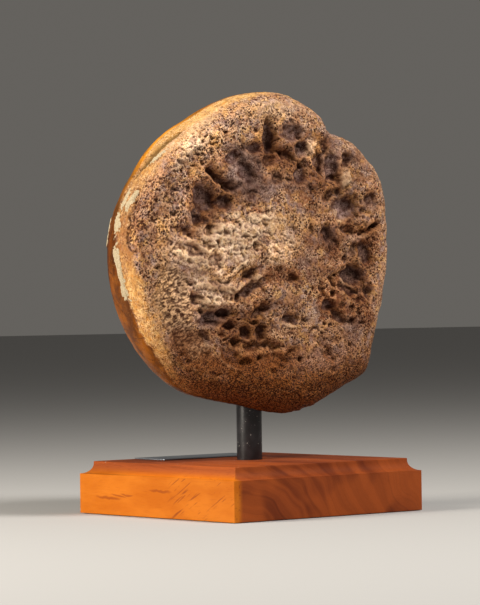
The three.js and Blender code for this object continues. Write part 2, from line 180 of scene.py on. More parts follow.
# Darker places on the face, and then lighter ones, with how much darker or lighter.
STAINED = [
    # upper left
    (-60, 60, 6, 5, 0.25), (-71, 53, 8, 6, 0.3, 50), (-85, 28, 18, 7, 0.5, 75), (-45, 34, 13, 10, 0.7, -55),
    (-45, 20, 8, 6, 0.7, 60), (-40, 19, 5, 5, 0.7), (-58, 14, 10, 5, 0.5, -20), (-72, 9, 5, 5, 0.5),
    (-32, 30, 7, 5, 0.6), (-30, 10, 5, 5, 0.25), (-20, 10, 6, 5, 0.3), (-50, 0, 5, 5, 0.3),
    # the arc along the top
    (2, 57, 20, 12, 0.8), (-14, 44, 20, 12, 0.7, 15), (0, 70, 6, 5, 0.5), (14, 78, 7, 5, 0.3),
    (30, 72, 6, 5, 0.5), (35, 71, 9, 5, 0.5, -20), (40, 70, 6, 4, 0.9), (44, 71, 7, 5, 0.6, -20),
    (60, 61, 6, 5, 0.4), (58, 60, 8, 6, 0.4), (53, 51, 6, 5, 0.4), (65, 50, 10, 15, 0.4, 20),
    (37, 46, 15, 12, 0.8), (33, 40, 8, 5, 0.4), (22, 41, 16, 8, 0.8), (20, 40, 6, 5, 0.4),
    (-10, 32, 8, 4, 0.4),
    # down the right side
    (53, 28, 11, 9, 0.4), (72, 30, 8, 12, 0.4), (31, 27, 7, 12, 0.6), (64, 12, 15, 9, 0.7, 8),
    (42, 8, 9, 14, 0.9), (30, 8, 8, 10, 0.6), (22, 10, 8, 6, 0.4), (20, 0, 5, 5, 0.5), (12, -1, 6, 5, 0.4),
    (70, -2, 8, 11, 0.6), (30, -10, 7, 6, 0.4), (32, -9, 8, 7, 0.5), (60, -16, 13, 13, 0.8),
    (62, -20, 6, 5, 0.9), (60, -20, 6, 5, 0.4), (51, -18, 7, 7, 0.5), (43, -30, 12, 13, 0.8),
    (63, -31, 6, 5, 0.6), (63, -38, 12, 13, 0.9),
    # the middle
    (8, -14, 15, 7, 0.7, -15), (-10, -10, 5, 5, 0.25), (-38, -12, 10, 4, 0.5), (-50, -11, 7, 4, 0.5),
    (-36, -20, 14, 4, 0.8, -5), (-17, -17, 7, 4, 0.5, 20), (-24, -24, 9, 4, 0.6, 32), (14, -32, 10, 7, 0.6),
    # the bottom
    (-21, -45, 20, 15, 0.7), (-10, -44, 10, 12, 0.5), (-43, -38, 10, 6, 0.4), (-50, -50, 7, 6, 0.5),
    (-50, -50, 6, 5, 0.4), (-55, -58, 18, 10, 0.8, -35), (-62, -54, 10, 9, 0.8, -40), (-61, -56, 9, 9, 0.6),
    (-61, -61, 7, 5, 0.6, -40), (-30, -69, 22, 8, 0.7, -8), (-42, -68, 12, 5, 0.5, -15),
    (-21, -60, 6, 5, 0.5), (-9, -60, 8, 4, 0.4), (-10, -72, 18, 6, 0.6), (0, -66, 22, 8, 0.5),
    (0, -70, 8, 4, 0.5), (3, -80, 12, 5, 0.6), (0, -80, 10, 5, 0.5), (-20, -80, 9, 5, 0.5),
    (47, -57, 20, 14, 0.6),
]
PALE = [
    # upper left
    (-76, 10, 6, 12, 0.5), (-76, 17, 9, 8, 0.6), (-62, 21, 6, 4, 0.5), (-60, 30, 7, 5, 0.5),
    (-60, 38, 8, 8, 0.7), (-46, 41, 8, 5, 0.7), (-50, 50, 14, 8, 0.9, 45), (-50, 50, 5, 5, 0.3),
    (-57, 66, 10, 4.5, 0.6, 48), (-38, 72, 13, 6, 0.8, 25), (-40, 70, 7, 5, 0.6, 30), (-40, 62, 7, 5, 0.5),
    (-40, 60, 6, 5, 0.45), (-35, 60, 7, 5, 0.6), (-30, 60, 6, 6, 0.6), (-30, 60, 5, 5, 0.35),
    (-26, 61, 6, 5, 0.5), (-24, 50, 7, 5, 0.4), (-20, 48, 6, 5, 0.3), (-30, 21, 6, 4, 0.5),
    # the top
    (-11, 72, 6, 6, 0.7), (-9, 72, 5, 6, 0.6), (-10, 70, 5, 5, 0.35), (-18, 80, 7, 5, 0.5),
    (11, 82, 9, 4, 0.6), (22, 71, 6, 4, 0.6), (0, 51, 7, 5, 0.5), (30, 63, 5, 8, 1), (30, 60, 5, 6, 0.6),
    (30, 60, 6, 5, 0.55), (48, 60, 6, 5, 0.4), (42, 49, 6, 5, 0.6), (40, 40, 5, 5, 0.3),
    # down the right side
    (72, 40, 6, 6, 0.5), (68, 40, 7, 6, 0.5), (50, 29, 5, 6, 0.7), (55, 30, 5, 5, 0.6), (50, 24, 7, 5, 0.6),
    (40, 20, 6, 5, 0.7), (30, 20, 6, 4, 0.4), (70, 20, 6, 6, 0.5), (62, 10, 6, 4, 0.5), (52, -10, 5, 6, 0.6),
    (50, -20, 5, 5, 0.4), (38, -21, 8, 5, 0.6), (42, -24, 10, 7, 0.6), (40, -27, 6, 8, 0.5),
    (73, -20, 5, 6, 0.6), (50, -40, 5, 4, 0.4),
    # the middle
    (-62, 4, 8, 8, 0.5), (-60, 10, 8, 5, 0.6), (-51, 14, 9, 6, 0.4), (-72, -1, 9, 7, 0.5),
    (-38, 0, 8, 5, 0.9), (-34, -8, 8, 4, 0.6), (-2, 2, 10, 6, 0.7), (10, 0, 6, 6, 0.8),
    (-30, -15, 9, 5, 0.6), (-20, -20, 7, 5, 0.9), (-8, -20, 7, 5, 0.5), (0, -20, 7, 4, 0.5),
    (-9, -30, 6, 4, 0.6), (-52, -22, 9, 5, 0.6), (-30, -30, 8, 5, 0.5), (-31, -31, 7, 5, 0.6),
    (-72, -20, 6, 7, 0.7), (-60, -30, 7, 6, 0.5), (-54, -34, 10, 9, 0.5), (-50, -41, 6, 4, 0.5),
    # the bottom
    (-19, -61, 6, 3, 0.5), (0, -61, 18, 3, 0.4), (0, -61, 7, 5, 0.5), (-52, -60, 6, 5, 0.5),
    (-30, -70, 6, 5, 0.3), (28, -58, 7, 6, 0.4), (42, -60, 7, 5, 0.6), (50, -60, 6, 5, 0.35),
    (36, -70, 16, 6, 0.4, 5), (38, -68, 14, 6, 0.5, 5),
]
# Where the pores are streaks, where they are bigger, and where there are few.
STREAKED = [(-66, -30, 27, 12, 1, -80), (-54, -55, 15, 9, 0.7, -40)]
OPEN = [
    (-86, 26, 24, 8, 0.9, 74), (-46, 64, 18, 8, 0.8, 40), (-28, 76, 16, 7, 0.6, 20), (-4, 82, 24, 8, 0.6),
    (61, -38, 6, 9, 1, -10), (-66, 22, 30, 11, 0.9, 80), (-68, -20, 22, 11, 0.8, 100),
    (-54, -52, 20, 12, 0.6, -50), (30, 80, 12, 6, 0.6, -30),
]
PATCHES = {
    "cream": CREAM, "mauve": MAUVE, "rust": RUST, "ochre": OCHRE, "stained": STAINED, "pale": PALE,
    "streaked": STREAKED, "open": OPEN,
}

# Round the rim: angle, and how far behind the girth, along the surface, the dome's shell starts.
SHELL_EDGE = [
    (0, 3), (40, 3), (70, 4), (90, 5), (107, 5), (119, 5), (133, 6), (149, 6), (154, 9), (160, 8), (166, 5),
    (172, 0.5), (178, -2), (186, -4), (195, -8), (203, -10), (209, -9), (217, -11), (224, -9), (231, -6),
    (237, -3), (244, -3), (250, -4), (262, -4), (280, -1), (300, 2), (330, 3),
]
# Where the pale skin that covers the rim ends towards the face, by the same measure.
SKIN_EDGE = [
    (0, 2), (60, 2), (85, -4), (97, -8), (107, -10), (119, -15), (130, -19), (140, -15), (152, -13),
    (160, -10), (168, -10), (172, -11), (177, -13), (181, -18), (186, -22), (190, -26), (198, -28),
    (206, -28), (213, -27), (220, -23), (232, -14), (242, -7), (252, -2), (270, 0), (320, 2),
]
# Cream flakes of the shell's outer layer: angle and way back of the middle, half length, half width, turn.
FLAKES = [
    (159.5, 0.5, 7, 2.4, 3), (160.5, -6, 6.5, 2.8, 14), (141, -8.5, 7, 1.6, 28), (169, 1.5, 8.5, 3.2, -20),
    (173, 25, 9, 3, 8), (186.5, -5, 14, 2.2, -10), (181, -2.6, 4.5, 2.4, -20), (193, -6.6, 7, 3, -6),
    (28, 9, 9, 3, 15), (345, 12, 6, 2.4, -30), (292, 10, 8, 2.6, 10), (72, 14, 5, 2.2, -12),
]
# The long hollow under the shell's edge at the upper left: its line, and the middle and half of its length.
HOLLOW_LINE = [(0, 3), (110, -12), (122, -9), (136, -5), (148, 2), (160, 6), (300, 3)]
HOLLOW_MIDDLE, HOLLOW_REACH = 139.5, 12.5

# Dark lens-shaped flecks in the side of the block along the grain: place along it, height, half length,
# half width and turn.
WOOD_FLECKS = [(47, 10.6, 14, 1.1, 2), (28, 13, 7, 0.8, 5), (-5, 16.4, 12, 1, 0), (36, 12.2, 9, 0.7, 6)]


def step(low, high, value):
    """0 below low, 1 above high, and smooth between."""
    share = np.clip((value - low) / (high - low), 0, 1)
    return share * share * (3 - 2 * share)


def bell(value, middle, width, steepness=2):
    """1 at the middle, and less to both sides."""
    return np.exp(-(np.abs((value - middle) / width) ** steepness))


def around(points, angle):
    """A smooth closed curve through (angle, value) points, at each angle in degrees."""
    angles = np.array([a for a, _ in points], float)
    values = np.array([v for _, v in points], float)
    angles = np.concatenate([angles[-2:] - 360, angles, angles[:2] + 360])
    values = np.concatenate([values[-2:], values, values[:2]])
    slopes = (values[2:] - values[:-2]) / (angles[2:] - angles[:-2])
    angles, values = angles[1:-1], values[1:-1]
    turned = np.mod(angle, 360)
    i = np.clip(np.searchsorted(angles, turned, side="right") - 1, 0, len(angles) - 2)
    span = angles[i + 1] - angles[i]
    t = (turned - angles[i]) / span
    ends = values[i] * (2 * t**3 - 3 * t**2 + 1) + values[i + 1] * (3 * t**2 - 2 * t**3)
    return ends + span * (slopes[i] * (t**3 - 2 * t**2 + t) + slopes[i + 1] * (t**3 - t**2))


def oval(across, up, half_length, half_width, turn=0):
    """How far out in an oval each point lies, 1 on its edge. The points are given from its middle."""
    c, s = math.cos(math.radians(turn)), math.sin(math.radians(turn))
    return np.hypot((across * c + up * s) / half_length, (up * c - across * s) / half_width)


def patches(across, up, shapes, ragged):
    """How much of the patches' colour or texture each point has, 0 to 1."""
    bare = np.ones(len(across))
    for x, y, length, width, strength, *turn in shapes:
        reach = oval(across - x, up - y, length, width, *turn) * ragged
        bare *= 1 - strength * (1 - step(0.55, 1.25, reach))
    return 1 - bare


def shift_for(seed):
    return Vector((seed * 13.7, seed * 5.1, seed * 9.3))


def rough(points, size, octaves=1, seed=0):
    """Smooth noise round 0 at each point, with features of that size in mm."""
    shift = shift_for(seed)
    return np.array([noise.fractal(Vector(p) / size + shift, 0.9, 2, octaves) for p in points])


def cells(points, size, seed=0):
    """For each point the way to its cell's middle, the way to its edge, and the cell's own number, 0 to 1."""
    shift = shift_for(seed)
    far, edge, own = [], [], []
    for p in points:
        distances, middles = noise.voronoi(Vector(p) / size + shift)
        far.append(distances[0])
        edge.append(distances[1] - distances[0])
        own.append(math.modf(abs(middles[0].x * 37.1 + middles[0].y * 71.7 + middles[0].z * 53.3))[0])
    return np.array(far), np.array(edge), np.array(own)


def stretched(points, turn, ratio):
    """The points with the face's own direction at that turn shrunk, so that noise there runs along it."""
    c, s = math.cos(math.radians(turn)), math.sin(math.radians(turn))
    along = (points[:, 0] * c + points[:, 1] * s) / ratio
    aside = points[:, 1] * c - points[:, 0] * s
    return np.stack([along, aside, points[:, 2]], axis=1)


def blurred(values, edges, rounds):
    """The values evened out over the mesh's edges that many times."""
    count = np.bincount(edges.ravel(), minlength=len(values))
    for _ in range(rounds):
        total = np.bincount(edges[:, 0], weights=values[edges[:, 1]], minlength=len(values))
        total += np.bincount(edges[:, 1], weights=values[edges[:, 0]], minlength=len(values))
        values = (values + total / count) / 2
    return values


def facing(azimuth, elevation):
    """The directions right, up and forward of a thing that faces that way; azimuth 0 is the front."""
    a, e = math.radians(azimuth), math.radians(elevation)
    forward = Vector((math.sin(a) * math.cos(e), -math.cos(a) * math.cos(e), math.sin(e)))
    right = Vector((math.cos(a), math.sin(a), 0))
    return right, forward.cross(right), forward


def add_object(name, data):
    made = bpy.data.objects.new(name, data)
    bpy.context.scene.collection.objects.link(made)
    return made


def piece_from(bm, name, material=None):
    """A new object with the shape of the bmesh, which is used up."""
    mesh = bpy.data.meshes.new(name)
    bm.to_mesh(mesh)
    bm.free()
    if material:
        mesh.materials.append(material)
    return add_object(name, mesh)


def square(half):
    """A flat square face round the middle."""
    bm = bmesh.new()
    bmesh.ops.create_grid(bm, x_segments=1, y_segments=1, size=half)
    return bm


def cylinder(radius, bottom, top):
    bm = bmesh.new()
    middle = Matrix.Translation((0, 0, (bottom + top) / 2 * MM))
    bmesh.ops.create_cone(bm, cap_ends=True, segments=ROUND_SIDES, radius1=radius * MM,
                          radius2=radius * MM, depth=(top - bottom) * MM, matrix=middle)
    return bm


def level(edge):
    return abs(edge.verts[0].co.z - edge.verts[1].co.z) < 1e-6


def round_off(bm, edges, size):
    bmesh.ops.bevel(bm, geom=edges, offset=size * MM, segments=3, affect="EDGES", profile=0.5, material=-1)


def cut_rod_hole(piece, bottom, top):
    """Takes the hole for the rod out of a piece, with the fit gap round it."""
    drill = piece_from(cylinder(ROD_RADIUS + FIT_GAP, bottom, top), "drill")
    cut = piece.modifiers.new("rod_hole", "BOOLEAN")
    cut.operation, cut.solver, cut.object = "DIFFERENCE", "EXACT", drill
    evaluated = piece.evaluated_get(bpy.context.evaluated_depsgraph_get())
    piece.data = bpy.data.meshes.new_from_object(evaluated)
    piece.modifiers.clear()
    bpy.data.objects.remove(drill)


def smooth(piece, sharp_over):
    piece.data.shade_smooth()
    piece.data.set_sharp_from_angle(angle=math.radians(sharp_over))


# ---- the bone
def ball():
    """A unit ball of triangles, finer round +Z, where the face is, and round the worn side of the rim."""
    bm = bmesh.new()
    bmesh.ops.create_icosphere(bm, subdivisions=6, radius=1)

    def fine(point):
        from_middle = math.degrees(math.acos(max(-1, min(1, point.z))))
        turn = math.degrees(math.atan2(point.y, point.x)) % 360
        return from_middle < FINE_TO + (15 if 105 < turn < 250 else 0)

    edges = [e for e in bm.edges if fine(e.verts[0].co) and fine(e.verts[1].co)]
    bmesh.ops.subdivide_edges(bm, edges=edges, cuts=3, use_grid_fill=True)
    bmesh.ops.triangulate(bm, faces=[f for f in bm.faces if len(f.verts) > 3])
    for vert in bm.verts:
        vert.co.normalize()
    return bm


def plain_form(angle, middle):
    """Where each point of the bare form lies, and where it faces: 0 out of the face, 90 outward, 180 back."""
    girth = around(GIRTH_OUTLINE, angle)
    rim = around(RIM_WIDTH, angle)
    even = np.mean([around(GIRTH_OUTLINE, angle + aside) for aside in range(-36, 37, 12)], axis=0)
    on_face = middle < FACE_END
    in_front = middle < GIRTH
    on_rim = 90 * (middle - FACE_END) / (GIRTH - FACE_END)
    on_dome = 90 + 90 * (middle - GIRTH) / (180 - GIRTH)
    outward = np.where(on_face, 0, np.where(in_front, on_rim, on_dome))
    lean, turn = np.radians(outward), np.radians(angle)
    dome_girth = girth + (even - girth) * step(92, 125, outward)
    bent = np.where(in_front, girth - rim + rim * np.sin(lean), dome_girth * np.sin(lean))
    radius = np.where(on_face, (girth - rim) * middle / FACE_END, bent)
    thickness = np.where(in_front, FACE_DEPTH - GIRTH_DEPTH, GIRTH_DEPTH - POLE_DEPTH)
    depth = GIRTH_DEPTH + thickness * np.cos(lean)
    return np.stack([radius * np.cos(turn), radius * np.sin(turn), depth], axis=1), outward


def lay_out(angle, behind, spots):
    """What lies where on the bone, each 0 to 1: patches, shell, skin, flakes, tints, the crack with its
    painted shadow, and hollow.
    """
    ragged = 1 + 0.35 * rough(spots, 6, 3, 1)
    wander = 1.6 * rough(spots, 9, 2, 2) + 0.9 * rough(spots, 2.6, 2, 4)
    wander *= 1 + 1.6 * step(70, 120, np.abs((angle + 8) % 360 - 180))
    marks = {name: patches(spots[:, 0], spots[:, 1], shapes, ragged) for name, shapes in PATCHES.items()}
    marks["stained"] *= 1 - 0.8 * marks["pale"]
    marks["shell"] = step(-0.45, 0.45, behind - around(SHELL_EDGE, angle) - wander)
    past_skin = behind - around(SKIN_EDGE, angle) - 1.8 * wander
    soft = 0.6 + 4 * step(0, 22, np.abs(angle - 172))
    marks["skin"] = step(-soft, soft, past_skin) * (1 - marks["shell"])
    flakes = np.zeros(len(angle))
    for middle, back, *size in FLAKES:
        reach = oval((angle - middle) * GIRTH_MM_PER_DEGREE, behind - back, *size) * ragged
        reach += 0.4 * rough(spots, 2, 3, 6)
        flakes = np.maximum(flakes, 1 - step(0.85, 1.1, reach))
    marks["flake"] = flakes
    marks["golden"] = bell(angle, 134, 20) * (1 - step(4, 34, behind + 3 * wander))
    marks["amber"] = bell(angle, 213, 26) * (1 - step(4, 40, behind + 3 * wander))
    marks["dusty"] = bell(angle, 128, 22) * (1 - step(-11, -5, behind + wander))
    marks["tan"] = np.maximum(bell(angle, 175, 13), 0.45 * bell(angle, 152, 13))
    # The crack where the skin has come away from the spongy bone, painted brown as the shadow under the
    # skin's lifted edge.
    marks["crack_and_its_shadow"] = bell(past_skin, -0.8, 1.6) * step(156, 161, angle) * (1 - step(176, 181, angle))
    # The long hollow, widest in its middle.
    along = (angle - HOLLOW_MIDDLE) / HOLLOW_REACH
    width = (3.5 + 1.6 * rough(spots, 4, 3, 7)) * np.sqrt(np.clip(1 - along**2, 0.01, 1))
    marks["recess"] = bell(behind, around(HOLLOW_LINE, angle), width, 4) * (np.abs(along) < 1)
    return marks


def face_height(spots, marks):
    """How far the spongy face stands out at each point."""
    across, up = spots[:, 0], spots[:, 1]
    height = 0.8 * rough(spots, 14, 2, 3) + 0.4 * rough(spots, 6, 2, 5)
    for x, y, length, width, depth, *turn in SWELLS:
        height -= depth * np.exp(-oval(across - x, up - y, length, width, *turn) ** 2)
    warp_across = across + 1.5 * rough(spots, 5, 2, 11) + 0.3 * rough(spots, 1.8, 1, 12)
    warp_up = up + 1.5 * rough(spots, 5, 2, 13) + 0.3 * rough(spots, 1.8, 1, 14)
    sunk = np.zeros(len(across))
    apart = np.ones(len(across))
    deep = np.zeros(len(across))
    for i, (x, y, length, width, depth, *turn) in enumerate(CRATERS + PITS):
        reach = oval(warp_across - x, warp_up - y, length, width, *turn)
        if i < len(CRATERS):
            reach /= 1.2
            apart *= 1 - 0.9 * np.exp(-((reach / 1.75) ** 2))
        pit = 1 - step(0.45, 1.15, reach)
        sunk += depth * (0.65 * pit + 0.45 * np.exp(-0.9 * reach**2))
        if i < len(CRATERS):
            deep = np.maximum(deep, pit * min(1, width / 4) * min(1, (depth - 2) / 2.5))
    near = 1 - apart
    height += near * (1 - 0.8 * deep) * (1.8 * rough(spots, 7, 2, 15) + 0.5 * rough(spots, 3.2, 2, 16))
    height -= np.minimum(0.9 * sunk, 3.5 + 0.45 * sunk)
    raised = np.zeros(len(across))
    for x, y, length, width, rise, *turn in CHIPS:
        share = 1 - step(0.75, 1.05, oval(warp_across - x, warp_up - y, length, width, *turn))
        height += rise * share
        raised = np.maximum(raised, share * min(1, rise))

    # Uneven bowls round the craters, with ridges between them, and smaller pits.
    bent = np.stack([warp_across, warp_up, spots[:, 2]], axis=1)
    _, edge, own = cells(bent, 6.5, 21)
    bowls = near * (1 - marks["cream"]) * (1 - 0.8 * deep) * (0.2 + 2.6 * own) * step(0, 0.7, edge)
    far, _, own = cells(spots, 3, 22)
    height -= bowls + (0.2 + 0.3 * near) * (1 - deep) * (0.2 + own) * (1 - step(0.15, 0.6, far))
    # The bare cream bone: shallow cups of every size with thin broken walls between them.
    _, edge, own = cells(stretched(bent, -18, 1.3), 6, 23)
    _, small_edge, small_own = cells(stretched(bent, -18, 1.3), 3, 25)
    cups = (0.2 + 2.2 * own) * step(0.02, 0.35, edge) + (0.1 + 0.7 * small_own) * step(0.02, 0.5, small_edge)
    layers = rough(stretched(spots, -18, 1.4), 2.6, 3, 24)
    height += marks["cream"] * (1 - 0.6 * deep) * (1.4 - cups + 0.8 * layers)
    marks.update(pitted=near, chip=raised, deep=deep)
    marks["hollow"] = np.clip(deep * 1.25 * (1 - 0.6 * marks["cream"]) + bowls / 4, 0, 1)
    return height


def pores(spots, marks):
    """How far each point lies in one of the small pores that cover the face, 0 to 1."""
    run = marks["streaked"]
    streaks = run * step(0.02, 0.3, rough(stretched(spots, 24, 2.2), 0.95, 2, 32))
    even = 0.4 * (1 - run) * step(0.1, 0.4, rough(spots, 0.8, 2, 31))
    far, _, own = cells(spots, 1.9, 33)
    round_ones = (1 - step(0.2, 0.45, far)) * step(0.4, 0.55, own + 0.35 * marks["open"])
    far, _, own = cells(spots, 3.1, 34)
    big_ones = marks["open"] * (1 - step(0.2, 0.42, far)) * step(0.25, 0.4, own)
    few = marks["cream"] * 0.8 + marks["skin"] * 0.5 + marks["hollow"] * 0.6 + 0.5 * marks["mauve"]
    return np.maximum(np.maximum(streaks + even, round_ones), big_ones * 1.2) * (1 - np.clip(few, 0, 1))


def relief(spots, outward, marks, edges):
    """How far each point of the bone stands out from its bare form."""
    spongy = 1 - marks["shell"]
    rise = (1 - step(50, 92, outward)) * face_height(spots, marks)
    marks["pore"] = pores(spots, marks) * spongy * (1 - marks["flake"]) * (1 - step(92, 108, outward) * 0.7)
    rise -= 0.5 * marks["pore"]
    rise += (0.12 * rough(spots, 0.9, 1, 41) + 0.15 * rough(spots, 2.4, 2, 44)) * spongy
    rise += 1.1 * marks["shell"] + 0.55 * marks["skin"] + 0.7 * marks["flake"]
    rise += (0.35 * rough(spots, 11, 2, 42) + 0.12 * rough(spots, 3, 2, 43)) * marks["shell"]
    rise -= 2 * marks["recess"] + 0.9 * marks["crack_and_its_shadow"]
    # Painted shade: how far each point lies below the broad lie of its surroundings, which the finish darkens
    # near black.
    marks["low"] = blurred(rise, edges, 60) - rise
    # Painted shade and highlight: how far each point lies below or above its close neighbours, which the
    # finish darkens in creases and lightens on crests.
    marks["crease_shade_and_crest_light"] = blurred(rise, edges, 4) - rise
    return rise


def make_bone(material):
    """The ball's points drawn out to the bone's form, with the relief and the marks that its finish reads."""
    bone = piece_from(ball(), "fossil_bone", material)
    mesh = bone.data
    start = np.empty(len(mesh.vertices) * 3)
    mesh.vertices.foreach_get("co", start)
    start = start.reshape(-1, 3)
    edges = np.empty(len(mesh.edges) * 2, np.int32)
    mesh.edges.foreach_get("vertices", edges)
    edges = edges.reshape(-1, 2)
    angle = np.degrees(np.arctan2(start[:, 1], start[:, 0])) % 360
    middle = np.degrees(np.arccos(np.clip(start[:, 2], -1, 1)))
    behind = (middle - GIRTH) * np.where(middle < GIRTH, RIM_MM_PER_DEGREE, DOME_MM_PER_DEGREE)

    spots, outward = plain_form(angle, middle)
    marks = lay_out(angle, behind, spots)
    rise = relief(spots, outward, marks, edges)
    lean, turn = np.radians(outward), np.radians(angle)
    way_out = np.stack([np.sin(lean) * np.cos(turn), np.sin(lean) * np.sin(turn), np.cos(lean)], axis=1)
    place = (spots + rise[:, None] * way_out) @ np.array(facing(FACE_TURN, FACE_TILT))
    place = (place + np.array([0, 0, BONE_CENTRE])) * MM
    mesh.vertices.foreach_set("co", place.ravel())
    for name, values in marks.items():
        mesh.attributes.new(name, "FLOAT", "POINT").data.foreach_set("value", values.astype(np.float32))
    mesh.update()
    cut_rod_hole(bone, 0, ROD_TOP + FIT_GAP)
    bone.data.shade_smooth()
    return bone


# ---- the stand
def make_base(material):
    """A square block, drawn up ring by ring along its edge profile: foot, upright edge, cove and lip."""
    half = BASE_SIDE / 2
    cove_top = BASE_HEIGHT - LIP
    eased = math.asin(ARRIS / COVE)
    profile = [(ARRIS, 0), (0.3 * ARRIS, 0.1 * ARRIS), (0.1 * ARRIS, 0.3 * ARRIS), (0, ARRIS)]
    profile += [(0, ARRIS + 0.2), (0, cove_top - COVE - 0.2), (0, cove_top - COVE)]
    for i in range(1, 17):
        angle = (math.pi / 2 - eased) * (1 - i / 16)
        profile.append((COVE * math.cos(angle), cove_top - COVE * math.sin(angle)))
    profile += [(COVE, BASE_HEIGHT - 0.35), (COVE + 0.1, BASE_HEIGHT - 0.1), (COVE + 0.35, BASE_HEIGHT)]
    bm = square(1)
    top = list(bm.faces)
    for i, (inset, z) in enumerate(profile):
        if i:
            below = top
            grown = bmesh.ops.extrude_face_region(bm, geom=below, use_keep_orig=True)["geom"]
            top = [f for f in grown if isinstance(f, bmesh.types.BMFace)]
            if i > 1:
                bmesh.ops.delete(bm, geom=below, context="FACES_ONLY")
        for vert in top[0].verts:
            x, y = math.copysign(half - inset, vert.co.x), math.copysign(half - inset, vert.co.y)
            vert.co = Vector((x, y, z)) * MM
    low, high = ARRIS * MM - 1e-6, (cove_top - COVE) * MM + 1e-6
    corners = [e for e in bm.edges if not level(e) and all(low < v.co.z < high for v in e.verts)]
    round_off(bm, corners, BASE_BEVEL)
    bmesh.ops.recalc_face_normals(bm, faces=bm.faces)
    base = piece_from(bm, "wooden_base", material)
    cut_rod_hole(base, BASE_HEIGHT - ROD_HOLE, BASE_HEIGHT + 5)
    smooth(base, 25)
    return base


def make_rod(material):
    bm = cylinder(ROD_RADIUS, BASE_HEIGHT - ROD_HOLE + FIT_GAP, ROD_TOP)
    round_off(bm, [e for e in bm.edges if level(e)], ROD_CHAMFER)
    rod = piece_from(bm, "black_rod", material)
    smooth(rod, 35)
    return rod


def make_plate(material):
    """A thin sheet with rounded corners and eased upper edges."""
    bm = square(0.5)
    bmesh.ops.scale(bm, vec=(PLATE_LENGTH * MM, PLATE_WIDTH * MM, 1), verts=bm.verts)
    bmesh.ops.bevel(bm, geom=bm.verts[:], offset=PLATE_CORNER * MM, offset_type="OFFSET", segments=8,
                    affect="VERTICES", profile=0.5, material=-1)
    grown = bmesh.ops.extrude_face_region(bm, geom=bm.faces[:], use_keep_orig=True)["geom"]
    raised = [v for v in grown if isinstance(v, bmesh.types.BMVert)]
    bmesh.ops.translate(bm, vec=(0, 0, PLATE_THICKNESS * MM), verts=raised)
    round_off(bm, [e for e in bm.edges if level(e) and e.verts[0].co.z > 1e-6], PLATE_BEVEL)
    bmesh.ops.translate(bm, vec=(0, PLATE_CENTRE * MM, (BASE_HEIGHT + FIT_GAP) * MM), verts=bm.verts)
    bmesh.ops.recalc_face_normals(bm, faces=bm.faces)
    plate = piece_from(bm, "blank_plate", material)
    smooth(plate, 35)
    return plate


# ---- materials
def rgb(red, green, blue):
    """A colour from its usual 0 to 255 parts."""
    parts = [c / 255 for c in (red, green, blue)]
    return tuple(c / 12.92 if c < 0.04045 else ((c + 0.055) / 1.055) ** 2.4 for c in parts)


class Shader:
    """A new material, with short calls for the nodes used here. Sizes are in mm."""

    def __init__(self, name):
        self.material = bpy.data.materials.new(name)
        self.material.use_nodes = True
        self.tree = self.material.node_tree
        self.surface = self.tree.nodes["Principled BSDF"]
        place = self.tree.nodes.new("ShaderNodeTexCoord").outputs["Object"]
        self.place = self.vector("MULTIPLY", place, (1000, 1000, 1000))

    def put(self, value, socket):
        """Gives a socket its value: a number, a colour, another node's socket or a mark's name."""
        if isinstance(value, str):
            value = self.node("Attribute", attribute_name=value).outputs["Fac"]
        if isinstance(value, bpy.types.NodeSocket):
            self.tree.links.new(value, socket)
        elif socket.type == "RGBA":
            socket.default_value = (*value, 1)
        else:
            socket.default_value = value

    def node(self, kind, values=(), **settings):
        made = self.tree.nodes.new("ShaderNode" + kind)
        for name, value in settings.items():
            setattr(made, name, value)
        for key, value in dict(values).items():
            self.put(value, made.inputs[key])
        return made

    def vector(self, operation, first, second):
        return self.node("VectorMath", {0: first, 1: second}, operation=operation).outputs[0]

    def apart(self, way):
        """The place moved that far along, for a second noise of the same kind."""
        return self.vector("ADD", self.place, (way, 0, 0))

    def scaled(self, x, y, z):
        """The place shrunk along some axes, so that a noise there is drawn out along them."""
        return self.vector("MULTIPLY", self.place, (x, y, z))

    def parts(self):
        return self.node("SeparateXYZ", {0: self.place}).outputs[:3]

    def math(self, operation, first, second=0):
        return self.node("Math", {0: first, 1: second}, operation=operation).outputs[0]

    def plus(self, first, second):
        return self.math("ADD", first, second)

    def minus(self, first, second):
        return self.math("SUBTRACT", first, second)

    def times(self, first, *others):
        for other in others:
            first = self.math("MULTIPLY", first, other)
        return first

    def ramp(self, value, low, high, to_low=0, to_high=1):
        values = {0: value, 1: low, 2: high, 3: to_low, 4: to_high}
        return self.node("MapRange", values, interpolation_type="SMOOTHSTEP").outputs[0]

    def mix(self, share, first, second, how="MIX"):
        values = {0: share, 6: first, 7: second}
        return self.node("Mix", values, data_type="RGBA", blend_type=how).outputs[2]

    def layered(self, colour, *layers):
        """The colour with others laid over it in turn, each given as its share and itself."""
        for share, *layer in layers:
            colour = self.mix(share, colour, *layer)
        return colour

    def noise(self, size, detail=2, rough=0.5, place=None):
        values = {"Vector": place or self.place, "Scale": 1 / size, "Detail": detail, "Roughness": rough}
        return self.node("TexNoise", values).outputs[0]

    def holes(self, size, most):
        """Round holes of uneven size, 1 inside."""
        cell = self.node("TexVoronoi", {"Vector": self.place, "Scale": 1 / size})
        own = self.node("SeparateColor", {0: cell.outputs["Color"]}).outputs[0]
        reach = self.times(self.ramp(own, 0.1, 0.9, 0.12, 0.5), most)
        return self.ramp(cell.outputs["Distance"], self.minus(reach, 0.06), self.plus(reach, 0.04), 1, 0)

    def less_on(self, name, left):
        """1, and only that much where the mark is full."""
        return self.ramp(name, 0, 1, 1, left)

    def bump(self, height, distance, strength):
        values = {"Height": height, "Distance": distance * MM, "Strength": strength}
        return self.node("Bump", values).outputs[0]

    def done(self, **values):
        for name, value in values.items():
            self.put(value, self.surface.inputs[name.replace("_", " ")])
        return self.material


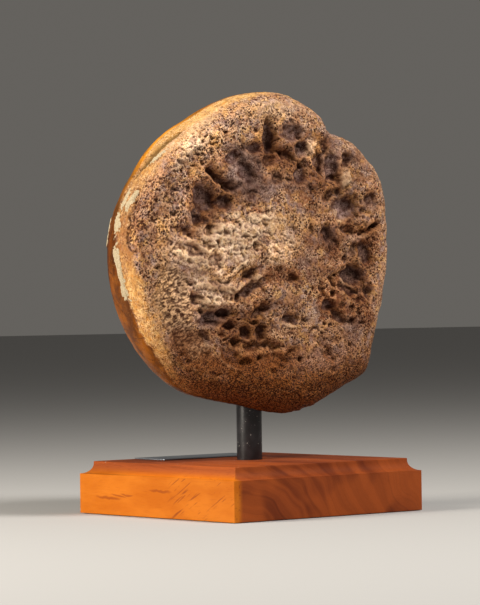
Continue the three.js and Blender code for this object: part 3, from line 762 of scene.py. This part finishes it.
def spongy_colour(s):
    """A net of tan, pinkish grey, ochre and brown, with the face's patches on it."""
    mauve = s.mix(s.ramp(s.tint, 0.4, 0.6), rgb(104, 80, 78), rgb(160, 138, 134))
    cream = s.layered(
        s.mix(s.ramp(s.patch, 0.38, 0.62), rgb(190, 152, 126), rgb(236, 204, 176)),
        (s.ramp(s.yellow, 0.48, 0.6, 0, 0.6), rgb(224, 184, 134)),
    )
    return s.layered(
        s.mix(s.ramp(s.noise(14, 3), 0.4, 0.6), rgb(162, 114, 82), rgb(198, 150, 114)),
        (s.ramp(s.grey, 0.49, 0.56, 0, 0.9), rgb(156, 128, 120)),
        (s.ramp(s.yellow, 0.53, 0.6, 0, 0.8), rgb(206, 154, 92)),
        (s.ramp(s.noise(5, 4, 0.65, s.apart(120)), 0.52, 0.59, 0, 0.8), rgb(116, 68, 42)),
        (s.ramp(s.tint, 0.55, 0.64, 0, 0.6), rgb(134, 92, 78)),
        (s.times("ochre", s.ramp(s.patch, 0.35, 0.6, 0.9, 0.4)), rgb(212, 156, 82)),
        (s.times("rust", s.ramp(s.patch, 0.3, 0.6, 0.3, 1)), rgb(150, 88, 50)),
        (s.times("mauve", s.ramp(s.patch, 0.3, 0.55, 0.5, 0.95)), mauve),
        (s.times("cream", s.ramp(s.tint, 0.35, 0.55, 0.5, 0.95)), cream),
    )


def skin_colour(s):
    """The pale skin on the rim, which goes from golden and dusty at the top to tan and amber below."""
    fleck = s.ramp(s.tint, 0.45, 0.6)
    return s.layered(
        s.mix(s.ramp(s.patch, 0.35, 0.6), rgb(172, 126, 64), rgb(222, 176, 106)),
        (s.ramp(s.yellow, 0.54, 0.62, 0, 0.7), rgb(196, 128, 44)),
        (s.ramp(s.grey, 0.52, 0.62, 0, 0.6), rgb(140, 98, 58)),
        (s.times("golden", s.ramp(s.patch, 0.35, 0.6, 0.9, 0.5)),
         s.mix(fleck, rgb(170, 124, 46), rgb(190, 144, 74))),
        (s.times("dusty", s.ramp(s.patch, 0.35, 0.6, 0.95, 0.6)),
         s.mix(fleck, rgb(178, 140, 108), rgb(206, 174, 146))),
        (s.times("tan", s.ramp(s.patch, 0.35, 0.6, 1, 0.75)), rgb(136, 82, 38)),
        (s.times("amber", s.ramp(s.patch, 0.35, 0.6, 0.7, 0.2)), rgb(200, 128, 34)),
    )


def craters_and_painted_hollow_shade(s, colour):
    """Brown inside the craters, partly stain and partly painted shade that deepens with them, grey where
    their floors are smooth, and near-black painted shade in the relief's deepest hollows.
    """
    floor = s.layered(
        s.mix(s.ramp(s.tint, 0.4, 0.56), rgb(60, 40, 36), rgb(130, 110, 112)),
        (s.ramp(s.speckle, 0.5, 0.6, 0, 0.5), rgb(170, 146, 138)),
    )
    return s.layered(
        colour,
        # Partly stain and partly painted shade: darker brown the deeper the crater or bowl.
        (s.ramp("hollow", 0.2, 1, 0, 0.6), rgb(84, 42, 18)),
        (s.ramp("deep", 0.4, 1, 0, 0.8), floor),
        # Painted shade, near black, where the relief lies deepest below its surroundings.
        (s.ramp("low", 0.8, 4, 0, 0.45), rgb(40, 12, 3)),
    )


def grain_and_painted_relief_light(s, colour):
    """Fine grain, the chips, painted shade in the relief's creases and painted highlights on its crests."""
    even = s.times(s.ramp("deep", 0, 0.8, 1, 0.3), s.ramp(s.clump, 0.42, 0.56, 0.3, 1))
    light = s.times(even, s.ramp("open", 0, 1, 0.5, 0.85), s.less_on("tan", 0.4))
    light_colour = s.mix("mauve", rgb(242, 206, 166), rgb(212, 192, 178))
    # Painted highlight on the relief's crests, paler where the bone is cream.
    crest_highlight = s.times(s.ramp("crease_shade_and_crest_light", -0.3, -0.04, 0.5, 0), s.less_on("skin", 0.5))
    crest_highlight_colour = s.mix("mauve", rgb(200, 150, 104), rgb(172, 144, 132))
    return s.layered(
        colour,
        (s.times(s.ramp(s.speckle, 0.5, 0.57), light), light_colour),
        (s.times(s.ramp(s.speckle, 0.41, 0.47, 0.55, 0), even), rgb(134, 100, 76), "MULTIPLY"),
        # Painted shade in the relief's creases.
        (s.ramp("crease_shade_and_crest_light", 0.02, 0.3, 0, 0.6), rgb(58, 22, 5)),
        (s.times("chip", s.ramp(s.speckle, 0.35, 0.55, 0.3, 0.9)), rgb(222, 190, 156)),
        (crest_highlight, s.mix("cream", crest_highlight_colour, rgb(240, 214, 178))),
    )


def stains_streaks_and_painted_underside_shade(s, colour):
    """The streaks at the lower left, the darker and lighter places, and painted shade on the bone's
    underside, darker towards the bottom.
    """
    x, y, z = s.parts()
    along = s.plus(s.times(x, 0.36), s.times(z, 0.16))
    aside = s.minus(s.times(z, 0.91), s.times(x, 0.41))
    streak_place = s.node("CombineXYZ", {0: along, 1: aside, 2: s.times(y, 0.9)}).outputs[0]
    streaks = s.ramp(s.noise(1.3, 2, 0.5, streak_place), 0.44, 0.52, 1, 0)
    run = s.times(s.ramp("streaked", 0, 0.8), s.minus(1, "skin"))
    # Painted underside shade: near black with lighter brown specks.
    bottom = s.mix(s.ramp(s.speckle, 0.45, 0.54), rgb(26, 8, 1), rgb(146, 84, 34))
    return s.layered(
        colour,
        (s.times(run, 0.6), rgb(214, 172, 130)),
        (s.times(streaks, s.times(run, 0.85)), rgb(66, 34, 18)),
        (s.ramp("pitted", 0.3, 1, 0, 0.7), rgb(210, 196, 184), "MULTIPLY"),
        ("stained", rgb(190, 170, 156), "MULTIPLY"),
        ("pale", (1.6, 1.6, 1.6), "MULTIPLY"),
        # Painted shade: the bone's underside darker towards the bottom.
        (s.ramp(z, 78, 122, 0.92, 0), bottom),
    )


def pinholes(s):
    """The holes in the spongy bone that are too small for the relief."""
    bare = s.times(s.minus(1, "shell"), s.less_on("cream", 0.5), s.less_on("hollow", 0.35),
                   s.less_on("mauve", 0.6))
    holes = s.math("MAXIMUM", s.holes(1.6, s.ramp("open", 0, 1, 0.9, 1.2)), s.holes(1, 0.8))
    holes = s.times(holes, s.times(bare, s.less_on("skin", 0.3)), s.less_on("streaked", 0.3))
    return s.times(holes, s.math("MAXIMUM", "open", s.ramp(s.clump, 0.4, 0.55, 0.45, 1)))


def shell_colour(s, cloud, drying):
    """The dome's amber shell, with darker clouds, drying cracks and scuffs."""
    scuffs = s.times(s.ramp(s.speckle, 0.6, 0.66), s.ramp(s.patch, 0.5, 0.6, 0, 0.5))
    return s.layered(
        s.mix(s.ramp(cloud, 0.35, 0.65), rgb(49, 19, 1), rgb(89, 41, 4)),
        (s.ramp(s.noise(24, 5, 0.65, s.apart(200)), 0.54, 0.66, 0, 0.6), rgb(146, 84, 22)),
        (s.ramp(s.noise(3, 4, 0.65), 0.55, 0.75, 0, 0.5), rgb(38, 14, 2)),
        (s.times("golden", 0.85), rgb(218, 142, 32)),
        (s.times("amber", 0.8), s.mix(s.ramp(cloud, 0.4, 0.6), rgb(88, 44, 2), rgb(138, 76, 6))),
        (drying, rgb(24, 8, 1)),
        (scuffs, rgb(176, 124, 66)),
    )


def bone_material():
    s = Shader("spongy_bone")
    s.grey = s.noise(6, 4, 0.6, s.apart(40))
    s.yellow = s.noise(5, 4, 0.6, s.apart(80))
    s.clump = s.noise(6, 3, 0.6, s.apart(160))
    s.patch = s.noise(4.5, 3, 0.6)
    s.tint = s.noise(2.8, 3, 0.6)
    s.speckle = s.noise(0.7, 2, 0.6)
    grain = s.noise(0.5, 2, 0.6)
    cloud = s.noise(13, 4, 0.6)
    aside = s.node("CombineXYZ", {0: s.times(s.noise(7, 3), 12), 1: s.times(s.clump, 12)}).outputs[0]
    cell = s.node("TexVoronoi", {"Vector": s.vector("ADD", s.place, aside), "Scale": 1 / 17},
                  feature="DISTANCE_TO_EDGE")
    drying = s.times(s.ramp(cell.outputs["Distance"], 0.006, 0.022, 1, 0),
                     s.ramp(cloud, 0.44, 0.56, 0, 0.8))
    holes = pinholes(s)
    torn = s.plus("flake", s.ramp(s.noise(2.2, 3, 0.6), 0.3, 0.7, -0.4, 0.4))
    flake = s.mix(s.ramp(grain, 0.35, 0.65), rgb(142, 126, 98), rgb(190, 174, 146))

    colour = s.layered(
        spongy_colour(s),
        (s.times("skin", s.ramp(s.speckle, 0.36, 0.5, 0.5, 0.95)), skin_colour(s)),
        # Painted shadow: brown along the crack, under the skin's lifted edge.
        (s.times("crack_and_its_shadow", 0.9), rgb(112, 68, 22)),
    )
    colour = s.layered(
        stains_streaks_and_painted_underside_shade(s, grain_and_painted_relief_light(s, craters_and_painted_hollow_shade(s, colour))),
        (s.times(holes, 0.95), rgb(44, 16, 4)),
        (s.times("pore", 0.85), rgb(48, 14, 2)),
        (s.times("recess", 0.85), rgb(84, 60, 26)),
        ("shell", shell_colour(s, cloud, drying)),
        (s.ramp(torn, 0.42, 0.6), flake),
    )
    shiny = s.times("shell", s.minus(1, "flake"))
    roughness = s.mix(shiny, s.mix("cream", (0.8,) * 3, (0.5,) * 3), (0.42,) * 3)
    fine = s.minus(s.plus(grain, s.times(s.speckle, 1.5)), s.times(holes, 1.5))
    normal = s.bump(s.minus(fine, s.times(drying, "shell", 1.5)), 0.3, 0.4)
    return s.done(Base_Color=colour, Roughness=roughness, Normal=normal, Specular_IOR_Level=0.12)


def fleck_share(s, y, z, middle, height, length, width, turn):
    """How much of a dark lens-shaped fleck lies at each place on the side of the block."""
    c, n = math.cos(math.radians(turn)), math.sin(math.radians(turn))
    dy, dz = s.minus(y, middle), s.minus(z, height)
    dz = s.plus(dz, s.times(s.minus(s.noise(5, 2), 0.5), 2.5))
    u = s.math("DIVIDE", s.plus(s.times(dy, c), s.times(dz, n)), length)
    v = s.math("DIVIDE", s.minus(s.times(dz, c), s.times(dy, n)), width)
    return s.ramp(s.plus(s.times(u, u), s.times(v, v)), 0.2, 1.2, 0.6, 0)


def wood_material():
    s = Shader("oiled_wood")
    x, y, z = s.parts()
    # Growth rings round a line that runs along Y, below and to the left of the block.
    long_place = s.scaled(1, 0.25, 1)
    from_x, from_z = s.plus(x, 120), s.plus(z, 95)
    ring = s.math("SQRT", s.plus(s.times(from_x, from_x), s.times(from_z, from_z)))
    ring = s.plus(ring, s.times(s.noise(38, 2, 0.5, long_place), 26))
    ring_place = s.node("CombineXYZ", {0: ring, 1: s.times(y, 0.02)}).outputs[0]
    bands = s.noise(11, 3, 0.6, ring_place)
    lines = s.noise(1.6, 2, 0.5, ring_place)
    fibre = s.noise(0.45, 2, 0.6, s.scaled(1, 0.06, 1))
    # The left side runs along the grain, almost flat to the rings; its paler, more even orange is partly that
    # side grain and partly painted light from the lamp on that side.
    cloud = s.ramp(s.noise(16, 3, 0.6, s.scaled(1, 0.3, 1)), 0.35, 0.68)
    leaning = s.node("Mapping", {"Vector": s.place, "Rotation": (math.radians(-60), 0, 0)}).outputs[0]
    slits = s.noise(1.3, 2, 0.5, s.vector("MULTIPLY", leaning, (1, 1, 0.09)))
    side_grain_painted_lit = s.layered(
        s.mix(cloud, rgb(176, 92, 14), rgb(192, 108, 26)),
        (s.ramp(fibre, 0.55, 0.75, 0, 0.3), rgb(146, 64, 6)),
        (s.times(s.ramp(slits, 0.62, 0.7, 0, 0.75), s.ramp(y, -8, -22)), rgb(128, 58, 20)),
        *((fleck_share(s, y, z, *fleck), rgb(126, 54, 16)) for fleck in WOOD_FLECKS),
    )
    dust = s.ramp(s.noise(1.1, 1), 0.76, 0.8, 0, 0.7)
    colour = s.layered(
        s.mix(s.ramp(bands, 0.36, 0.64), rgb(98, 42, 20), rgb(136, 64, 28)),
        (s.ramp(s.noise(30, 2, 0.5, long_place), 0.4, 0.62, 0, 0.5), rgb(160, 78, 32)),
        (s.ramp(lines, 0.5, 0.72, 0, 0.25), rgb(84, 32, 14)),
        (s.ramp(fibre, 0.56, 0.72, 0, 0.4), rgb(72, 22, 8)),
        # The left side's look: partly its own side grain, partly painted light.
        (s.ramp(x, -74, -69, 1, 0), side_grain_painted_lit),
        (s.times(dust, s.ramp(z, 31.5, 32.3)), rgb(235, 225, 210)),
    )
    roughness = s.ramp(s.noise(6, 3), 0.3, 0.7, 0.5, 0.62)
    normal = s.bump(s.plus(fibre, s.times(lines, 0.6)), 0.08, 0.6)
    return s.done(Base_Color=colour, Roughness=roughness, Normal=normal, Specular_IOR_Level=0.1)


def rod_material():
    s = Shader("black_satin_paint")
    specks = s.times(s.ramp(s.noise(0.9, 1, 0.4), 0.72, 0.76), s.ramp(s.noise(9, 1), 0.5, 0.62))
    paint = s.mix(s.ramp(s.noise(7, 3), 0.4, 0.7), rgb(20, 19, 22), rgb(34, 32, 35))
    roughness = s.ramp(s.noise(2.2, 3), 0.3, 0.7, 0.3, 0.42)
    return s.done(Base_Color=s.mix(specks, paint, rgb(200, 198, 190)), Roughness=roughness,
                  Normal=s.bump(s.noise(0.7, 3), 0.04, 0.5), Specular_IOR_Level=0.4)


def plate_material():
    s = Shader("satin_plate")
    brushed = s.noise(0.35, 3, 0.6, s.scaled(0.02, 1, 1))
    colour = s.mix(s.ramp(brushed, 0.3, 0.7), rgb(150, 160, 174), rgb(188, 196, 206))
    roughness = s.ramp(brushed, 0.3, 0.7, 0.28, 0.42)
    return s.done(Base_Color=colour, Metallic=1.0, Roughness=roughness, Normal=s.bump(brushed, 0.02, 0.4))


for piece, node, slot_name in (
    (make_bone(bone_material()), "femur_head", "fossil_bone"),
    (make_base(wood_material()), "stand_base", "base_wood"),
    (make_rod(rod_material()), "stand_rod", "black_rod"),
    (make_plate(plate_material()), "label_plate", "plate_metal"),
):
    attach(piece, "root")
    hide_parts(node)

# ---- floor, lights and camera, in metres
FLOOR_HALF, FLOOR_GAP = 12, 0.0003
LIT_HEIGHT = 0.13
CAMERA_AZIMUTH, CAMERA_ELEVATION, CAMERA_ROLL = -39.83, -0.11, 0.816
CAMERA_DISTANCE, CAMERA_LENS = 1.976, 187.3
AIM_HEIGHT, AIM_ASIDE, AIM_UP = 0.1317, -0.00466, -0.00056
WORLD_COLOUR, WORLD_STRENGTH = (0.86, 0.81, 0.74, 1), 0.15

bm = square(FLOOR_HALF)
bmesh.ops.translate(bm, vec=(0, 0, -FLOOR_GAP), verts=bm.verts)
floor = piece_from(bm, "floor", Shader("floor").done(Base_Color=(0.4, 0.4, 0.4), Roughness=1.0))


def make_light(name, azimuth, elevation, distance, size, power, colour):
    light = bpy.data.lights.new(name, "AREA")
    light.shape = "RECTANGLE"
    light.size, light.size_y = size
    light.energy = power
    light.color = colour
    lamp = add_object(name, light)
    towards = facing(azimuth, elevation)[2]
    lamp.location = towards * distance + Vector((0, 0, LIT_HEIGHT))
    lamp.rotation_euler = (-towards).to_track_quat("-Z", "Y").to_euler()


make_light("left_softbox", -104, 20, 1.3, (0.4, 0.8), 28, (1, 0.92, 0.8))
make_light("front_softbox", 10, 50, 1.5, (0.4, 0.4), 27, (1, 0.95, 0.88))

world = bpy.data.worlds.new("studio")
bpy.context.scene.world = world
world.use_nodes = True
background = world.node_tree.nodes["Background"]
background.inputs["Color"].default_value = WORLD_COLOUR
background.inputs["Strength"].default_value = WORLD_STRENGTH

camera_data = bpy.data.cameras.new("camera")
camera_data.sensor_fit = "VERTICAL"
camera_data.sensor_height = 36
camera_data.lens = CAMERA_LENS
camera = add_object("camera", camera_data)
right, up, back = facing(CAMERA_AZIMUTH, CAMERA_ELEVATION)
roll = math.radians(CAMERA_ROLL)
right = right * math.cos(roll) - up * math.sin(roll)
up = back.cross(right)
target = Vector((0, 0, AIM_HEIGHT)) + right * AIM_ASIDE + up * AIM_UP
turned = Matrix((right, up, back)).transposed().to_4x4()
camera.matrix_world = Matrix.Translation(target + back * CAMERA_DISTANCE) @ turned
bpy.context.scene.camera = camera
bpy.context.scene.view_settings.view_transform = "Standard"
